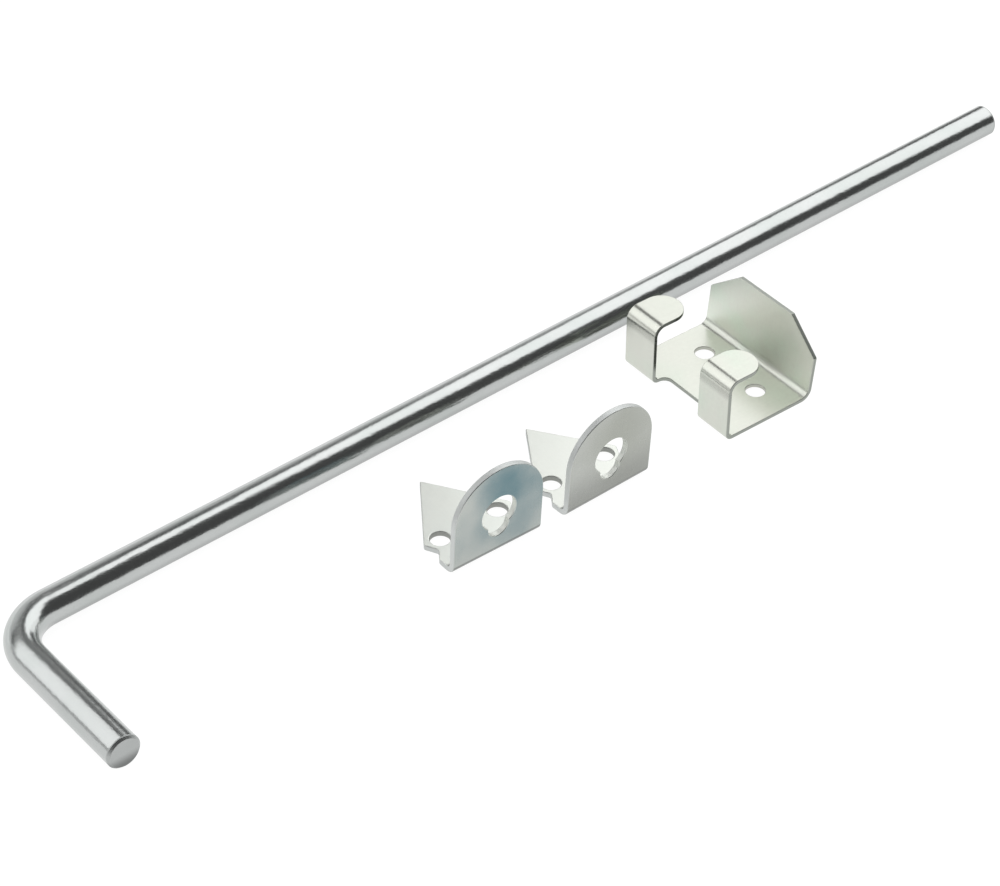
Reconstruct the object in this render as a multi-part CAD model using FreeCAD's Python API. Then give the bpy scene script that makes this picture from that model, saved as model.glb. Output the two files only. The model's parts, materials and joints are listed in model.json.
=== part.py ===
import FreeCAD, Part

import math
import os

# A cane bolt set, laid out flat as it is sold: a bent rod, the two guides that it slides
# in on a gate, and the holder that its handle hooks into while the rod is raised.
# Millimetres, +Z up. Every piece lies on Z = 0. The rod's long arm runs along +X and its
# handle along -Y. The origin is on the ground under the middle of the set's own box.

# Rod: a round bar with one right-angled bend
ROD_DIAMETER = 12.7
ARM_LENGTH = 485.0  # from the handle's outer side to the tip
HANDLE_LENGTH = 79.0  # from the arm's outer side to the handle's end
ROD_BEND_RADIUS = 18.0  # to the bar's centre line
ROD_END_CHAMFER = 0.8

# Guide: an upright plate with a round top, folded to a pointed flange
GUIDE_SHEET = 2.4
GUIDE_BEND_INSIDE = 2.0
GUIDE_FOLD_OPEN = 3.3  # degrees past square, so the plate leans away from the flange
GUIDE_WIDTH = 38.1
GUIDE_HEIGHT = 40.0  # up the plate's front, from the corner with the flange's underside
GUIDE_REACH = 45.2  # from that corner to the flange's point
GUIDE_POINT_ROUND = 0.5
ROD_HOLE_HEIGHT = 19.7  # up the plate's front
ROD_HOLE_CLEARANCE = 0.9  # all round the rod
HOLE_FOOT_RADIUS = 4.4  # rounded notch in the hole's lower edge
HOLE_FOOT_DEPTH = 3.3
NOTCH_DEPTH = 2.75  # relief in each side, behind the fold
NOTCH_ROUND = 1.2
FOLD_END = 8.0  # where the notch starts, from the corner
NOTCH_BOTTOM = 11.9
NOTCH_END = 17.0
GUIDE_SCREW_HOLE = 7.5
GUIDE_SCREW_EDGE = 6.55  # hole centre to the flange's side
GUIDE_SCREW_BACK = 16.3  # hole centre to the corner

# Holder: two hooked tabs, a base and a leaning wall, folded from one strip
HOLDER_SHEET = 1.6
HOLDER_LENGTH = 57.15
TAB_WIDTH = 15.9
TONGUE_FLAT = 5.3  # from the top fold to where the tongue's round end starts
HANDLE_HEADROOM = 10.6  # above the handle, under the tongues
HANDLE_SIDE_ROOM = 6.05  # beside the handle, from the tongues' tips to the wall's fold
TAB_TOP_BEND_INSIDE = 3.4
TAB_FOOT_BEND_INSIDE = 1.6
RECESS_DEPTH = 3.4  # hollow in the base's edge between the tabs
WALL_BEND_INSIDE = 3.2
WALL_LEAN = 5.5  # degrees, outwards
WALL_HEIGHT = 29.5
WALL_CUT_ALONG = 14.5  # cut corners, along the top edge
WALL_CUT_DOWN = 11.5
HOLDER_SCREW_HOLE = 7.5
HOLDER_SCREW_EDGE = 14.3  # hole centre to the base's end
HOLDER_SCREW_WALL = 10.0  # hole centre to the wall's fold

# How the loose pieces lie: clear distances between them, before each is turned about its
# own origin by a few degrees, counter-clockwise from above
HANDLE_TO_LOWER_GUIDE = 129.6
GUIDE_TO_GUIDE = 11.3
UPPER_GUIDE_TO_HOLDER = 33.7
ARM_TO_LOWER_GUIDE = 19.3
ARM_TO_UPPER_GUIDE = 21.1
ARM_TO_HOLDER = 14.1
LOWER_GUIDE_TURN = -2.3
UPPER_GUIDE_TURN = -0.2
HOLDER_TURN = -2.2

ROD_RADIUS = ROD_DIAMETER / 2
TAB_REACH = HOLDER_SHEET + TAB_TOP_BEND_INSIDE + TONGUE_FLAT + TAB_WIDTH / 2
TAB_HEIGHT = ROD_DIAMETER + HANDLE_HEADROOM + 2 * HOLDER_SHEET
WALL_FOLD = TAB_REACH + ROD_DIAMETER + HANDLE_SIDE_ROOM
PAST = 1.0  # how far a cutting shape runs past the sheet


def rounded_face(corners, lift):
    """A flat face round corners given as (across, up, radius), in order.

    A corner with a radius becomes an arc tangent to its two sides. lift turns a flat
    (across, up) point into a point in space.
    """
    ends = []
    for index, (x, y, radius) in enumerate(corners):
        here = FreeCAD.Vector(x, y, 0)
        before = FreeCAD.Vector(*corners[index - 1][:2], 0)
        after = FreeCAD.Vector(*corners[(index + 1) % len(corners)][:2], 0)
        to_before = (before - here).normalize()
        to_after = (after - here).normalize()
        half = to_before.getAngle(to_after) / 2
        middle = (to_before + to_after).normalize()
        setback = radius / math.tan(half)
        crown = here + middle * (radius / math.sin(half) - radius)
        ends.append((here + to_before * setback, crown, here + to_after * setback, radius))
    edges = []
    for index, (start, crown, end, radius) in enumerate(ends):
        last_end = ends[index - 1][2]
        if (start - last_end).Length > 1e-6:
            edges.append(Part.makeLine(lift(last_end), lift(start)))
        if radius > 0:
            edges.append(Part.Arc(lift(start), lift(crown), lift(end)).toShape())
    return Part.Face(Part.Wire(edges))


def bearing(degrees):
    """The flat unit vector that many degrees left of the first axis."""
    return FreeCAD.Vector(math.cos(math.radians(degrees)), math.sin(math.radians(degrees)), 0)


def fold_arc(centre, radius, heading, turn, lift):
    """One surface of a fold, whose heading turns left by turn degrees."""
    through = [centre + bearing(heading - 90 + turned) * radius for turned in (0, turn / 2, turn)]
    return Part.Arc(*[lift(point) for point in through]).toShape()


def folded_face(start, heading, sheet, steps, lift):
    """The side view of a folded strip, as a flat face.

    The path is the strip's outer surface. It sets off from start at heading degrees and
    takes steps of ("run", length) and ("fold", degrees, inside radius), all folds turning
    left. The sheet lies on the path's left.
    """
    point = FreeCAD.Vector(*start, 0)
    start_cap = Part.makeLine(lift(point + bearing(heading + 90) * sheet), lift(point))
    outer = []
    inner = []
    for step in steps:
        left = bearing(heading + 90)
        if step[0] == "run":
            end = point + bearing(heading) * step[1]
            outer.append(Part.makeLine(lift(point), lift(end)))
            inner.append(Part.makeLine(lift(end + left * sheet), lift(point + left * sheet)))
        else:
            turn, inside = step[1:]
            centre = point + left * (inside + sheet)
            outer.append(fold_arc(centre, inside + sheet, heading, turn, lift))
            inner.append(fold_arc(centre, inside, heading, turn, lift))
            heading += turn
            end = centre - bearing(heading + 90) * (inside + sheet)
        point = end
    end_cap = Part.makeLine(lift(point), lift(point + bearing(heading + 90) * sheet))
    return Part.Face(Part.Wire([start_cap, *outer, end_cap, *reversed(inner)]))


def cane_rod():
    """The bent bar, with its centre lines meeting over the local origin."""
    arm_end = ARM_LENGTH - ROD_RADIUS
    handle_end = HANDLE_LENGTH - ROD_RADIUS
    tip = FreeCAD.Vector(arm_end, 0, ROD_RADIUS)
    arm_bend = FreeCAD.Vector(ROD_BEND_RADIUS, 0, ROD_RADIUS)
    handle_bend = FreeCAD.Vector(0, -ROD_BEND_RADIUS, ROD_RADIUS)
    handle_tip = FreeCAD.Vector(0, -handle_end, ROD_RADIUS)
    inset = ROD_BEND_RADIUS * (1 - math.sqrt(0.5))
    bend_middle = FreeCAD.Vector(inset, -inset, ROD_RADIUS)
    path = Part.Wire(
        [
            Part.makeLine(tip, arm_bend),
            Part.Arc(arm_bend, bend_middle, handle_bend).toShape(),
            Part.makeLine(handle_bend, handle_tip),
        ]
    )
    section = Part.Wire(Part.makeCircle(ROD_RADIUS, tip, FreeCAD.Vector(1, 0, 0)))
    bar = path.makePipeShell([section], True, False)
    rims = []
    for edge in bar.Edges:
        if edge.Closed and min(edge.CenterOfMass.distanceToPoint(end) for end in (tip, handle_tip)) < 1e-3:
            rims.append(edge)
    return bar.makeChamfer(ROD_END_CHAMFER, rims)


def guide():
    """A guide, centred on local X, with its plate in front and the flange behind.

    The plate's front and the flange's underside would meet in a corner along the X axis.
    """
    half = GUIDE_WIDTH / 2
    lean = math.radians(GUIDE_FOLD_OPEN)
    up = FreeCAD.Vector(0, -math.sin(lean), math.cos(lean))
    back = FreeCAD.Vector(0, math.cos(lean), math.sin(lean))
    fold_outside = GUIDE_BEND_INSIDE + GUIDE_SHEET
    setback = fold_outside * math.tan((math.pi / 2 - lean) / 2)
    plate_top = up * GUIDE_HEIGHT
    side_view = folded_face(
        (plate_top.y, plate_top.z),
        GUIDE_FOLD_OPEN - 90,
        GUIDE_SHEET,
        [
            ("run", GUIDE_HEIGHT - setback),
            ("fold", 90 - GUIDE_FOLD_OPEN, GUIDE_BEND_INSIDE),
            ("run", GUIDE_REACH - setback),
        ],
        lambda p: FreeCAD.Vector(-half, p.x, p.y),
    )
    bracket = side_view.extrude(FreeCAD.Vector(GUIDE_WIDTH, 0, 0))
    front_view = rounded_face(
        [
            (-half, -GUIDE_REACH, 0),
            (half, -GUIDE_REACH, 0),
            (half, GUIDE_HEIGHT, half),
            (-half, GUIDE_HEIGHT, half),
        ],
        lambda p: FreeCAD.Vector(p.x, 0, 0) + up * p.y - back * PAST,
    )
    front = plate_top.y - PAST
    top_view = rounded_face(
        [
            (-half, front, 0),
            (half, front, 0),
            (half, FOLD_END, NOTCH_ROUND),
            (half - NOTCH_DEPTH, NOTCH_BOTTOM, NOTCH_ROUND),
            (half, NOTCH_END, NOTCH_ROUND),
            (0, GUIDE_REACH, GUIDE_POINT_ROUND),
            (-half, NOTCH_END, NOTCH_ROUND),
            (NOTCH_DEPTH - half, NOTCH_BOTTOM, NOTCH_ROUND),
            (-half, FOLD_END, NOTCH_ROUND),
        ],
        lambda p: FreeCAD.Vector(p.x, p.y, -PAST),
    )
    bracket = bracket.common(front_view.extrude(back * (GUIDE_HEIGHT + GUIDE_REACH)))
    bracket = bracket.common(top_view.extrude(FreeCAD.Vector(0, 0, GUIDE_HEIGHT + 2 * PAST)))

    hole_radius = ROD_RADIUS + ROD_HOLE_CLEARANCE
    foot_height = ROD_HOLE_HEIGHT - hole_radius - HOLE_FOOT_DEPTH + HOLE_FOOT_RADIUS
    through = GUIDE_SHEET + 2 * PAST
    rod_hole = Part.makeCylinder(hole_radius, through, up * ROD_HOLE_HEIGHT - back * PAST, back)
    hole_foot = Part.makeCylinder(HOLE_FOOT_RADIUS, through, up * foot_height - back * PAST, back)
    bracket = bracket.cut(rod_hole.fuse(hole_foot))
    for side in (-1, 1):
        centre = FreeCAD.Vector(side * (half - GUIDE_SCREW_EDGE), GUIDE_SCREW_BACK, -PAST)
        bracket = bracket.cut(Part.makeCylinder(GUIDE_SCREW_HOLE / 2, through, centre))
    return bracket.removeSplitter()


def hooked_tab(near_side):
    """One tab with its foot fold, top fold and round-ended tongue, from Y = near_side on."""
    foot_outside = TAB_FOOT_BEND_INSIDE + HOLDER_SHEET
    top_outside = TAB_TOP_BEND_INSIDE + HOLDER_SHEET
    side_view = folded_face(
        (TAB_REACH, TAB_HEIGHT),
        180,
        HOLDER_SHEET,
        [
            ("run", TAB_REACH - top_outside),
            ("fold", 90, TAB_TOP_BEND_INSIDE),
            ("run", TAB_HEIGHT - top_outside - foot_outside),
            ("fold", 90, TAB_FOOT_BEND_INSIDE),
        ],
        lambda p: FreeCAD.Vector(p.x, near_side, p.y),
    )
    tab = side_view.extrude(FreeCAD.Vector(0, TAB_WIDTH, 0))
    top_view = rounded_face(
        [
            (-PAST, near_side, 0),
            (TAB_REACH, near_side, TAB_WIDTH / 2),
            (TAB_REACH, near_side + TAB_WIDTH, TAB_WIDTH / 2),
            (-PAST, near_side + TAB_WIDTH, 0),
        ],
        lambda p: FreeCAD.Vector(p.x, p.y, -PAST),
    )
    return tab.common(top_view.extrude(FreeCAD.Vector(0, 0, TAB_HEIGHT + 2 * PAST)))


def bolt_holder():
    """The holder, with its tabs' outer faces at local X = 0 and its near end at Y = 0."""
    foot_outside = TAB_FOOT_BEND_INSIDE + HOLDER_SHEET
    wall_outside = WALL_BEND_INSIDE + HOLDER_SHEET
    wall_fold = 90 - WALL_LEAN
    lean = math.radians(WALL_LEAN)
    wall_run = (WALL_HEIGHT - wall_outside * (1 - math.sin(lean))) / math.cos(lean)
    side_view = folded_face(
        (foot_outside, 0),
        0,
        HOLDER_SHEET,
        [
            ("run", WALL_FOLD - foot_outside),
            ("fold", wall_fold, WALL_BEND_INSIDE),
            ("run", wall_run),
        ],
        lambda p: FreeCAD.Vector(p.x, 0, p.y),
    )
    holder = side_view.extrude(FreeCAD.Vector(0, HOLDER_LENGTH, 0))

    wall_reach = wall_outside + wall_run * math.sin(lean) + 2 * PAST
    front_view = rounded_face(
        [
            (0, -PAST, 0),
            (HOLDER_LENGTH, -PAST, 0),
            (HOLDER_LENGTH, WALL_HEIGHT - WALL_CUT_DOWN, 0),
            (HOLDER_LENGTH - WALL_CUT_ALONG, WALL_HEIGHT, 0),
            (HOLDER_LENGTH - WALL_CUT_ALONG, WALL_HEIGHT + PAST, 0),
            (WALL_CUT_ALONG, WALL_HEIGHT + PAST, 0),
            (WALL_CUT_ALONG, WALL_HEIGHT, 0),
            (0, WALL_HEIGHT - WALL_CUT_DOWN, 0),
        ],
        lambda p: FreeCAD.Vector(0, p.x, p.y),
    )
    holder = holder.common(front_view.extrude(FreeCAD.Vector(WALL_FOLD + wall_reach, 0, 0)))

    recess = rounded_face(
        [
            (foot_outside, TAB_WIDTH, 0),
            (foot_outside + RECESS_DEPTH, TAB_WIDTH, RECESS_DEPTH),
            (foot_outside + RECESS_DEPTH, HOLDER_LENGTH - TAB_WIDTH, RECESS_DEPTH),
            (foot_outside, HOLDER_LENGTH - TAB_WIDTH, 0),
        ],
        lambda p: FreeCAD.Vector(p.x, p.y, -PAST),
    )
    through = HOLDER_SHEET + 2 * PAST
    holder = holder.cut(recess.extrude(FreeCAD.Vector(0, 0, through)))
    for across in (HOLDER_SCREW_EDGE, HOLDER_LENGTH - HOLDER_SCREW_EDGE):
        centre = FreeCAD.Vector(WALL_FOLD - HOLDER_SCREW_WALL, across, -PAST)
        holder = holder.cut(Part.makeCylinder(HOLDER_SCREW_HOLE / 2, through, centre))
    for near_side in (0, HOLDER_LENGTH - TAB_WIDTH):
        holder = holder.fuse(hooked_tab(near_side))
    return holder.removeSplitter()


def layout():
    """Each node's name and its shape, turned and set in its place on the ground."""
    lower_x = ROD_RADIUS + HANDLE_TO_LOWER_GUIDE + GUIDE_WIDTH / 2
    upper_x = lower_x + GUIDE_WIDTH + GUIDE_TO_GUIDE
    holder_x = upper_x + GUIDE_WIDTH / 2 + UPPER_GUIDE_TO_HOLDER
    lower_y = -ROD_RADIUS - ARM_TO_LOWER_GUIDE - GUIDE_REACH
    upper_y = -ROD_RADIUS - ARM_TO_UPPER_GUIDE - GUIDE_REACH
    holder_y = -ROD_RADIUS - ARM_TO_HOLDER - HOLDER_LENGTH
    placed = []
    for name, shape, x, y, turn in (
        ("cane_rod", cane_rod(), 0, 0, 0),
        ("lower_guide", guide(), lower_x, lower_y, LOWER_GUIDE_TURN),
        ("upper_guide", guide(), upper_x, upper_y, UPPER_GUIDE_TURN),
        ("bolt_holder", bolt_holder(), holder_x, holder_y, HOLDER_TURN),
    ):
        shape.rotate(FreeCAD.Vector(0, 0, 0), FreeCAD.Vector(0, 0, 1), turn)
        shape.translate(FreeCAD.Vector(x, y, 0))
        placed.append((name, shape))
    box = Part.makeCompound([shape for _, shape in placed]).optimalBoundingBox(False, False)
    for _, shape in placed:
        shape.translate(FreeCAD.Vector(-box.Center.x, -box.Center.y, 0))
    return placed


os.makedirs("parts", exist_ok=True)
for name, shape in layout():
    shape.exportStep(f"parts/{name}.step")
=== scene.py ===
"""Looks of a cane bolt set, laid out loose: a bent rod, two guides and a holder, all zinc plated.

The rod is a round section carried along its bent centre line. The guides and the holder are
flat blanks with round-edged outlines and holes, folded by a function of the distance along
the strip. Lengths are in metres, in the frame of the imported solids.
"""

import json
import math

import bpy
import numpy as np
from mathutils import Matrix, Vector
from mathutils.geometry import delaunay_2d_cdt


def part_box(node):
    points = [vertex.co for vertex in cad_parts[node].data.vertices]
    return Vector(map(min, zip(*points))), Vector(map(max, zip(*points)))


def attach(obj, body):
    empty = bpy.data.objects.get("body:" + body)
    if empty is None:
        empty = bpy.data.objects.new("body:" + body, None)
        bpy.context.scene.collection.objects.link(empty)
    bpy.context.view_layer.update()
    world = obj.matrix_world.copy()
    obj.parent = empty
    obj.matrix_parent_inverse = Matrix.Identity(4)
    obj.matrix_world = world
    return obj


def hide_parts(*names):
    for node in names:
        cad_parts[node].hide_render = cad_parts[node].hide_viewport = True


bl_info = {
    "name": "Cane Bolt Set",
    "version": (1, 0, 0),
    "blender": (4, 5, 0),
    "location": "3D View > Sidebar > Cane Bolt",
    "description": "Dresses a zinc-plated cane bolt set: rod, guides and holder",
    "category": "Object",
}

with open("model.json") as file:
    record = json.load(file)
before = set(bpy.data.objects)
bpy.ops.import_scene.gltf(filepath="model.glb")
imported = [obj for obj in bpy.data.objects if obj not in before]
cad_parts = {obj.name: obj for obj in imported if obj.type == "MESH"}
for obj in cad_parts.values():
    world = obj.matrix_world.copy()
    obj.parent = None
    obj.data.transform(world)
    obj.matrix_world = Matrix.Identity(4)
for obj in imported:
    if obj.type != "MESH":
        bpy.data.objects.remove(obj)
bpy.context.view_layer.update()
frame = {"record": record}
MOUNTS = {mount["name"]: mount for mount in frame["record"]["mounts"]}
MM = 0.001
CLOSE = 1e-7
TINY = 1e-9
BODY = "root"
METAL_MAP = "metal"
CUT_EDGE = "cut_edge"

# How finely curves are drawn
CORNER_POINTS = 33
EDGE_POINTS = 5
FOLD_SLICES = 12
ROD_HOLE_POINTS = 192
SCREW_HOLE_POINTS = 72
ROD_AROUND = 128

# The camera, fitted to the photograph's 1000 x 886 pixels, with its angles in degrees
IMAGE_WIDTH_PX = 1000
FOCAL_PX = 2782.1
SENSOR = 36.0
CAMERA_POINT = (-0.5384, -0.58043, 0.64695)
CAMERA_HEADING = 49.99
CAMERA_DIP = 39.97
CAMERA_ROLL = 0.13


def mount_size(name, key):
    """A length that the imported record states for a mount, in metres."""
    return MOUNTS[name]["dims"][key] * MM


def mount_place(name):
    """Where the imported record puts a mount."""
    return Vector(MOUNTS[name]["pos_m"])


class Value:
    """A number that varies over a surface. Arithmetic on it adds Math nodes."""

    def __init__(self, finish, socket):
        self.finish = finish
        self.socket = socket

    def math(self, operation, first, second):
        return self.finish.add("Math", {"operation": operation}, {0: first, 1: second})

    def __add__(self, other):
        return self.math("ADD", self, other)

    def __radd__(self, other):
        return self.math("ADD", other, self)

    def __sub__(self, other):
        return self.math("SUBTRACT", self, other)

    def __rsub__(self, other):
        return self.math("SUBTRACT", other, self)

    def __mul__(self, other):
        return self.math("MULTIPLY", self, other)

    def __rmul__(self, other):
        return self.math("MULTIPLY", other, self)


class Finish:
    """A material's nodes, written as Python expressions."""

    def __init__(self, name):
        self.material = bpy.data.materials.new(name)
        self.material.use_nodes = True
        self.tree = self.material.node_tree
        self.tree.nodes.clear()

    def add(self, kind, settings=None, inputs=None, output=0):
        """Adds a node, gives it its settings, then fills its sockets, and returns one output."""
        node = self.tree.nodes.new("ShaderNode" + kind)
        for key, value in (settings or {}).items():
            setattr(node, key, value)
        for key, value in (inputs or {}).items():
            if isinstance(value, Value):
                self.tree.links.new(value.socket, node.inputs[key])
            else:
                node.inputs[key].default_value = value
        return Value(self, node.outputs[output])

    def noise(self, place, scale, detail, roughness, stretch=(1, 1, 1)):
        """Cloudy noise between 0 and 1, with scale features to the metre."""
        place = self.add("Mapping", None, {"Vector": place, "Scale": [scale * s for s in stretch]})
        sockets = {"Vector": place, "Scale": 1.0, "Detail": detail, "Roughness": roughness}
        return self.add("TexNoise", {"noise_dimensions": "3D"}, sockets)

    def step(self, value, low, high):
        """Rises smoothly from 0 at low to 1 at high."""
        settings = {"interpolation_type": "SMOOTHSTEP"}
        return self.add("MapRange", settings, {"Value": value, "From Min": low, "From Max": high})

    def blend(self, factor, first, second):
        """One colour where factor is 0, the other where it is 1. The node's colour sockets
        share their names with others, so they go by number."""
        sockets = {"Factor": factor, 6: first, 7: second}
        return self.add("Mix", {"data_type": "RGBA", "clamp_factor": True}, sockets, 2)

    def component(self, vector, axis):
        """The X, Y or Z part of a vector."""
        return self.add("SeparateXYZ", None, {"Vector": vector}, axis)

    def surface(self, shader):
        """Makes shader the material's surface and returns the material."""
        output = self.tree.nodes.new("ShaderNodeOutputMaterial")
        self.tree.links.new(shader.socket, output.inputs["Surface"])
        return self.material


def zinc_plate(
    name, clear, stained, film_range, roughness, waves, lines, grain, zones,
    stains=(), edge_rough=None, shadowed=None,
):
    """Zinc plating: clear metal with a tinted film in clouds, drawn or rolled lines along
    the metal, a slow waviness that breaks up reflections, and fine grain.

    film_range is where in the clouds the film begins and where it is full. stains are
    (place, radius, strength), round which the film gathers. waves and lines are (scale
    across, scale along, bump height) on the metal's own map, and grain is a height. zones are
    (from, to, brightness, film, roughness): each comes in between two distances along the
    metal and holds from there on. Their brightness scales the colour: on the guides and the
    holder it is painted light and shade, and on the rod it darkens the cut ends. edge_rough is
    the roughness of the cut edges, which have their own colours. The last argument is (height,
    height, share): below the second height the colour is painted darker, down to the first, by
    that share, as painted shade low down towards the floor.
    """
    finish = Finish(name)
    metal = finish.add("UVMap", {"uv_map": METAL_MAP})
    place = finish.add("TexCoord", output="Object")
    clouds = 0.15 + 0.7 * finish.noise(place, 52, 2.0, 0.45)
    mottle = finish.noise(place, 620, 3.0, 0.6)
    grains = finish.noise(place, 2400, 2.0, 0.6)
    *wave_scale, wave_height = waves
    *line_scale, line_height = lines
    wavy = finish.noise(metal, 1, 2.5, 0.55, (*wave_scale, 1))
    lined = finish.noise(metal, 1, 2.0, 0.6, (*line_scale, 1))

    gathered = clouds + mottle * 0.12
    for centre, radius, strength in stains:
        away = finish.add("VectorMath", {"operation": "DISTANCE"}, {0: place, 1: centre}, "Value")
        gathered = gathered + strength * (1 - finish.step(away, 0, radius))
    film = finish.step(gathered, *film_range)
    shade = 0.92 + mottle * 0.10 + lined * 0.05
    rough = roughness + mottle * 0.05
    along = finish.component(metal, 1)
    bright, kept, last_rough = 1, 1, roughness
    for begin, end, zone_bright, zone_film, zone_rough in zones:
        share = finish.step(along, begin, end)
        shade = shade + share * (zone_bright - bright)
        film = film * (1 + share * (zone_film / kept - 1))
        rough = rough + share * (zone_rough - last_rough)
        bright, kept, last_rough = zone_bright, zone_film, zone_rough
    # Painted shade: the colour darkens low down, towards the floor
    if shadowed:
        *shade_range, shade_share = shadowed
        shade = shade * (1 - shade_share * (1 - finish.step(finish.component(place, 2), *shade_range)))
    colour = finish.blend(film, (*clear, 1), (*stained, 1))
    colour = finish.add("VectorMath", {"operation": "SCALE"}, {0: colour, "Scale": shade})
    if edge_rough:
        cut_colour = finish.add("Attribute", {"attribute_name": CUT_EDGE})
        cut = finish.add("Attribute", {"attribute_name": CUT_EDGE}, output="Alpha")
        colour = finish.blend(cut, colour, cut_colour)
        rough = rough + cut * (edge_rough - roughness)
    height = wavy * wave_height + lined * line_height + mottle * (2.5 * grain) + grains * grain
    sockets = {
        "Base Color": colour,
        "Metallic": 1.0,
        "Roughness": rough,
        "Normal": finish.add("Bump", None, {"Height": height, "Strength": 1.0, "Distance": 1.0}),
    }
    return finish.surface(finish.add("BsdfPrincipled", None, sockets))


def new_thing(name, points, faces):
    """An object made of these points and faces, linked to the scene."""
    mesh = bpy.data.meshes.new(name)
    mesh.from_pydata(points, [], faces)
    thing = bpy.data.objects.new(name, mesh)
    bpy.context.scene.collection.objects.link(thing)
    return thing


def make_piece(name, points, normals, faces, corner_map, cut_edge):
    """A smooth piece from whole arrays: each point's exact normal and cut edge, as a colour
    and its share, and each corner's metal map."""
    piece = new_thing(name, points, faces)
    mesh = piece.data
    mesh.shade_smooth()
    layer = mesh.uv_layers.new(name=METAL_MAP)
    layer.data.foreach_set("uv", np.asarray(corner_map, np.float32).ravel())
    edge = mesh.attributes.new(CUT_EDGE, "FLOAT_COLOR", "POINT")
    edge.data.foreach_set("color", np.asarray(cut_edge, np.float32).ravel())
    mesh.normals_split_custom_set_from_vertices(normals)
    return piece


def dress(piece, node, material):
    """The piece stands for a CAD node, rides on its body and wears the material."""
    piece.data.materials.append(material)
    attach(piece, BODY)
    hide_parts(node)


def closed_rows(rows, around, first=0):
    """Point numbers in rows that close on themselves, the same rows turned by one point, and
    the quads between each row and the next."""
    index = first + np.arange(rows * around).reshape(rows, around)
    beside = np.roll(index, -1, axis=1)
    quads = np.stack([index[:-1], beside[:-1], beside[1:], index[1:]], axis=-1)
    return index, beside, quads.reshape(-1, 4)


def facing_out(points, normals, faces):
    """The faces, turned round where their corners run against the points' normals."""
    corners = points[faces]
    flat = np.cross(corners[:, 1] - corners[:, 0], corners[:, 2] - corners[:, 0])
    wrong = np.einsum("ij,ij->i", flat, normals[faces].mean(axis=1)) < 0
    return np.where(wrong[:, None], faces[:, ::-1], faces)


def rounded_outline(corners):
    """A closed outline, counter-clockwise, from rows of (across, along, radius).

    At each corner the arc's centre lies on the bisector, radius / sin(half angle) in, and its
    points swing about that centre from one side's tangent to the other's. Each row of the
    outline holds a point and the unit vector out of the sheet there.
    """
    corners = np.array(corners, float)
    here, radius = corners[:, :2], corners[:, 2:]
    to_before = np.roll(here, 1, axis=0) - here
    to_after = np.roll(here, -1, axis=0) - here
    to_before /= np.linalg.norm(to_before, axis=1, keepdims=True)
    to_after /= np.linalg.norm(to_after, axis=1, keepdims=True)
    middle = to_before + to_after
    middle /= np.linalg.norm(middle, axis=1, keepdims=True)
    side = to_after - to_before
    side /= np.linalg.norm(side, axis=1, keepdims=True)
    half = np.arccos(np.einsum("ij,ij->i", to_before, middle))[:, None]
    centre = here + middle * radius / np.sin(half)
    swing = (math.pi / 2 - half) * np.linspace(-1, 1, CORNER_POINTS)
    out = side[:, None] * np.sin(swing)[..., None] - middle[:, None] * np.cos(swing)[..., None]
    points = (centre[:, None] + radius[:, None] * out).reshape(-1, 2)
    convex = np.sign(to_before[:, 1] * to_after[:, 0] - to_before[:, 0] * to_after[:, 1])
    out = (out * convex[:, None, None]).reshape(-1, 2)
    apart = np.linalg.norm(points - np.roll(points, 1, axis=0), axis=1) > CLOSE
    return np.column_stack([points, out])[apart]


def round_hole(centre, radius):
    """A circle, clockwise, because a hole's outline runs the other way round."""
    turn = -np.linspace(0, 2 * math.pi, SCREW_HOLE_POINTS, endpoint=False)
    around = np.column_stack([np.cos(turn), np.sin(turn)])
    return np.column_stack([np.array(centre) + radius * around, -around])


def crossed_at(points, levels):
    """The outline with a point added wherever a side crosses one of the along levels."""
    for level in levels:
        after = np.roll(points, -1, axis=0)
        gap, next_gap = points[:, 1] - level, after[:, 1] - level
        cross = np.flatnonzero((gap * next_gap < 0) & (np.minimum(abs(gap), abs(next_gap)) > CLOSE))
        share = gap[cross] / (gap[cross] - next_gap[cross])
        added = points[cross] + share[:, None] * (after[cross] - points[cross])
        added[:, 1] = level
        points = np.insert(points, cross + 1, added, axis=0)
    return points


def footed_hole(centre, radius, foot_radius, drop):
    """Two overlapping circles, the second one's centre drop further along than the first's:
    on each ray from the first centre, the farther of the two. Clockwise. The vector out of
    the sheet is the line through both neighbours, turned right."""
    turn = -np.linspace(0, 2 * math.pi, ROD_HOLE_POINTS, endpoint=False)
    ahead, aside = drop * np.sin(turn), drop * np.cos(turn)
    reach = foot_radius**2 - aside**2
    away = np.where(reach > 0, ahead + np.sqrt(np.maximum(reach, 0)), 0)
    around = np.column_stack([np.cos(turn), np.sin(turn)])
    place = np.array(centre) + np.maximum(radius, away)[:, None] * around
    line = np.roll(place, -1, axis=0) - np.roll(place, 1, axis=0)
    line /= np.linalg.norm(line, axis=1, keepdims=True)
    return np.column_stack([place, line[:, 1], -line[:, 0]])


def enclosed(points, starts, ends):
    """Even-odd rule: whether a ray from each point towards greater across meets the border,
    given as segments from starts to ends, an odd number of times."""
    here = points[:, None]
    crosses = (starts[:, 1] > here[..., 1]) != (ends[:, 1] > here[..., 1])
    rise = np.where(starts[:, 1] == ends[:, 1], 1, ends[:, 1] - starts[:, 1])
    meet = starts[:, 0] + (here[..., 1] - starts[:, 1]) * (ends[:, 0] - starts[:, 0]) / rise
    return (crosses & (meet > here[..., 0])).sum(axis=1) % 2 == 1


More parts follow.
